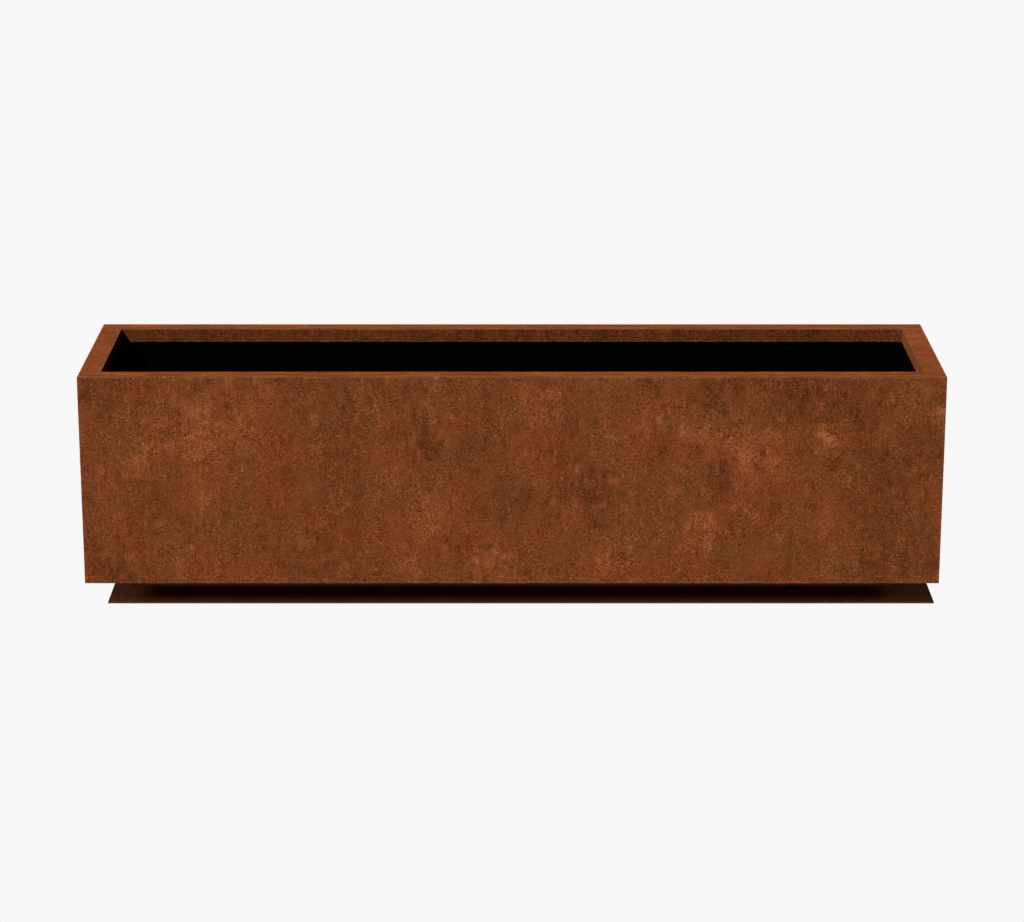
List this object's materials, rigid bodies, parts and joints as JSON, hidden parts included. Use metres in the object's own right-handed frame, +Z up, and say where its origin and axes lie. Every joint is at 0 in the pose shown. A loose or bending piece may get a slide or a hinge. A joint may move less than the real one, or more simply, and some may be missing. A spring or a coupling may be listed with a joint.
{
  "type": "planter box",
  "caption": "Long rectangular planter box of weathering steel sheet with a flat folded rim and a dark interior, standing on a recessed plinth and a ground plate.",
  "frame": {"origin": "on the ground, at the middle of the box's footprint", "axes": "+X along the box's length to the right, +Y to the back, +Z up"},
  "size_m": [2, 0.5, 0.55],
  "materials": {
    "weathering_steel": "matte",
    "base_steel": "matte",
    "galvanised_steel": "matte",
    "black_coated_steel": "matte",
    "fastener_steel": "satin",
    "liner_board": "matte",
    "black_plastic": "matte",
    "cap_rubber": "matte"
  },
  "bodies": {
    "root": {"access_caps": "cap_rubber", "back_panel": "weathering_steel", "base_plate": "base_steel", "base_stud_nuts": "fastener_steel", "base_stud_washers": "fastener_steel", "base_studs": "fastener_steel", "corner_angle_back_left": "galvanised_steel", "corner_angle_back_right": "galvanised_steel", "corner_angle_front_left": "galvanised_steel", "corner_angle_front_right": "galvanised_steel", "cross_tie_left": "black_coated_steel", "cross_tie_right": "black_coated_steel", "drain_lock_nuts": "black_plastic", "drain_outlet_left": "black_plastic", "drain_outlet_middle": "black_plastic", "drain_outlet_right": "black_plastic", "drain_strainer_left": "black_plastic", "drain_strainer_middle": "black_plastic", "drain_strainer_right": "black_plastic", "floor_bolt_nuts": "fastener_steel", "floor_bolt_washers": "fastener_steel", "floor_bolts": "fastener_steel", "floor_plate": "black_coated_steel", "front_panel": "weathering_steel", "left_panel": "weathering_steel", "liner_back": "liner_board", "liner_front": "liner_board", "liner_left": "liner_board", "liner_right": "liner_board", "liner_rivets": "black_plastic", "plinth_bearer_left": "base_steel", "plinth_bearer_right": "base_steel", "plinth_rail_back": "base_steel", "plinth_rail_front": "base_steel", "plinth_rail_left": "base_steel", "plinth_rail_right": "base_steel", "right_panel": "weathering_steel", "tie_bolt_nuts": "fastener_steel", "tie_bolt_washers": "fastener_steel", "tie_bolts": "fastener_steel", "tie_plate_back_left": "black_coated_steel", "tie_plate_back_right": "black_coated_steel", "tie_plate_front_left": "black_coated_steel", "tie_plate_front_right": "black_coated_steel", "wall_stiffener_back_left": "galvanised_steel", "wall_stiffener_back_right": "galvanised_steel", "wall_stiffener_front_left": "galvanised_steel", "wall_stiffener_front_right": "galvanised_steel", "wall_stud_nuts": "fastener_steel", "wall_stud_washers": "fastener_steel", "wall_studs": "fastener_steel"}
  },
  "joints": []
}
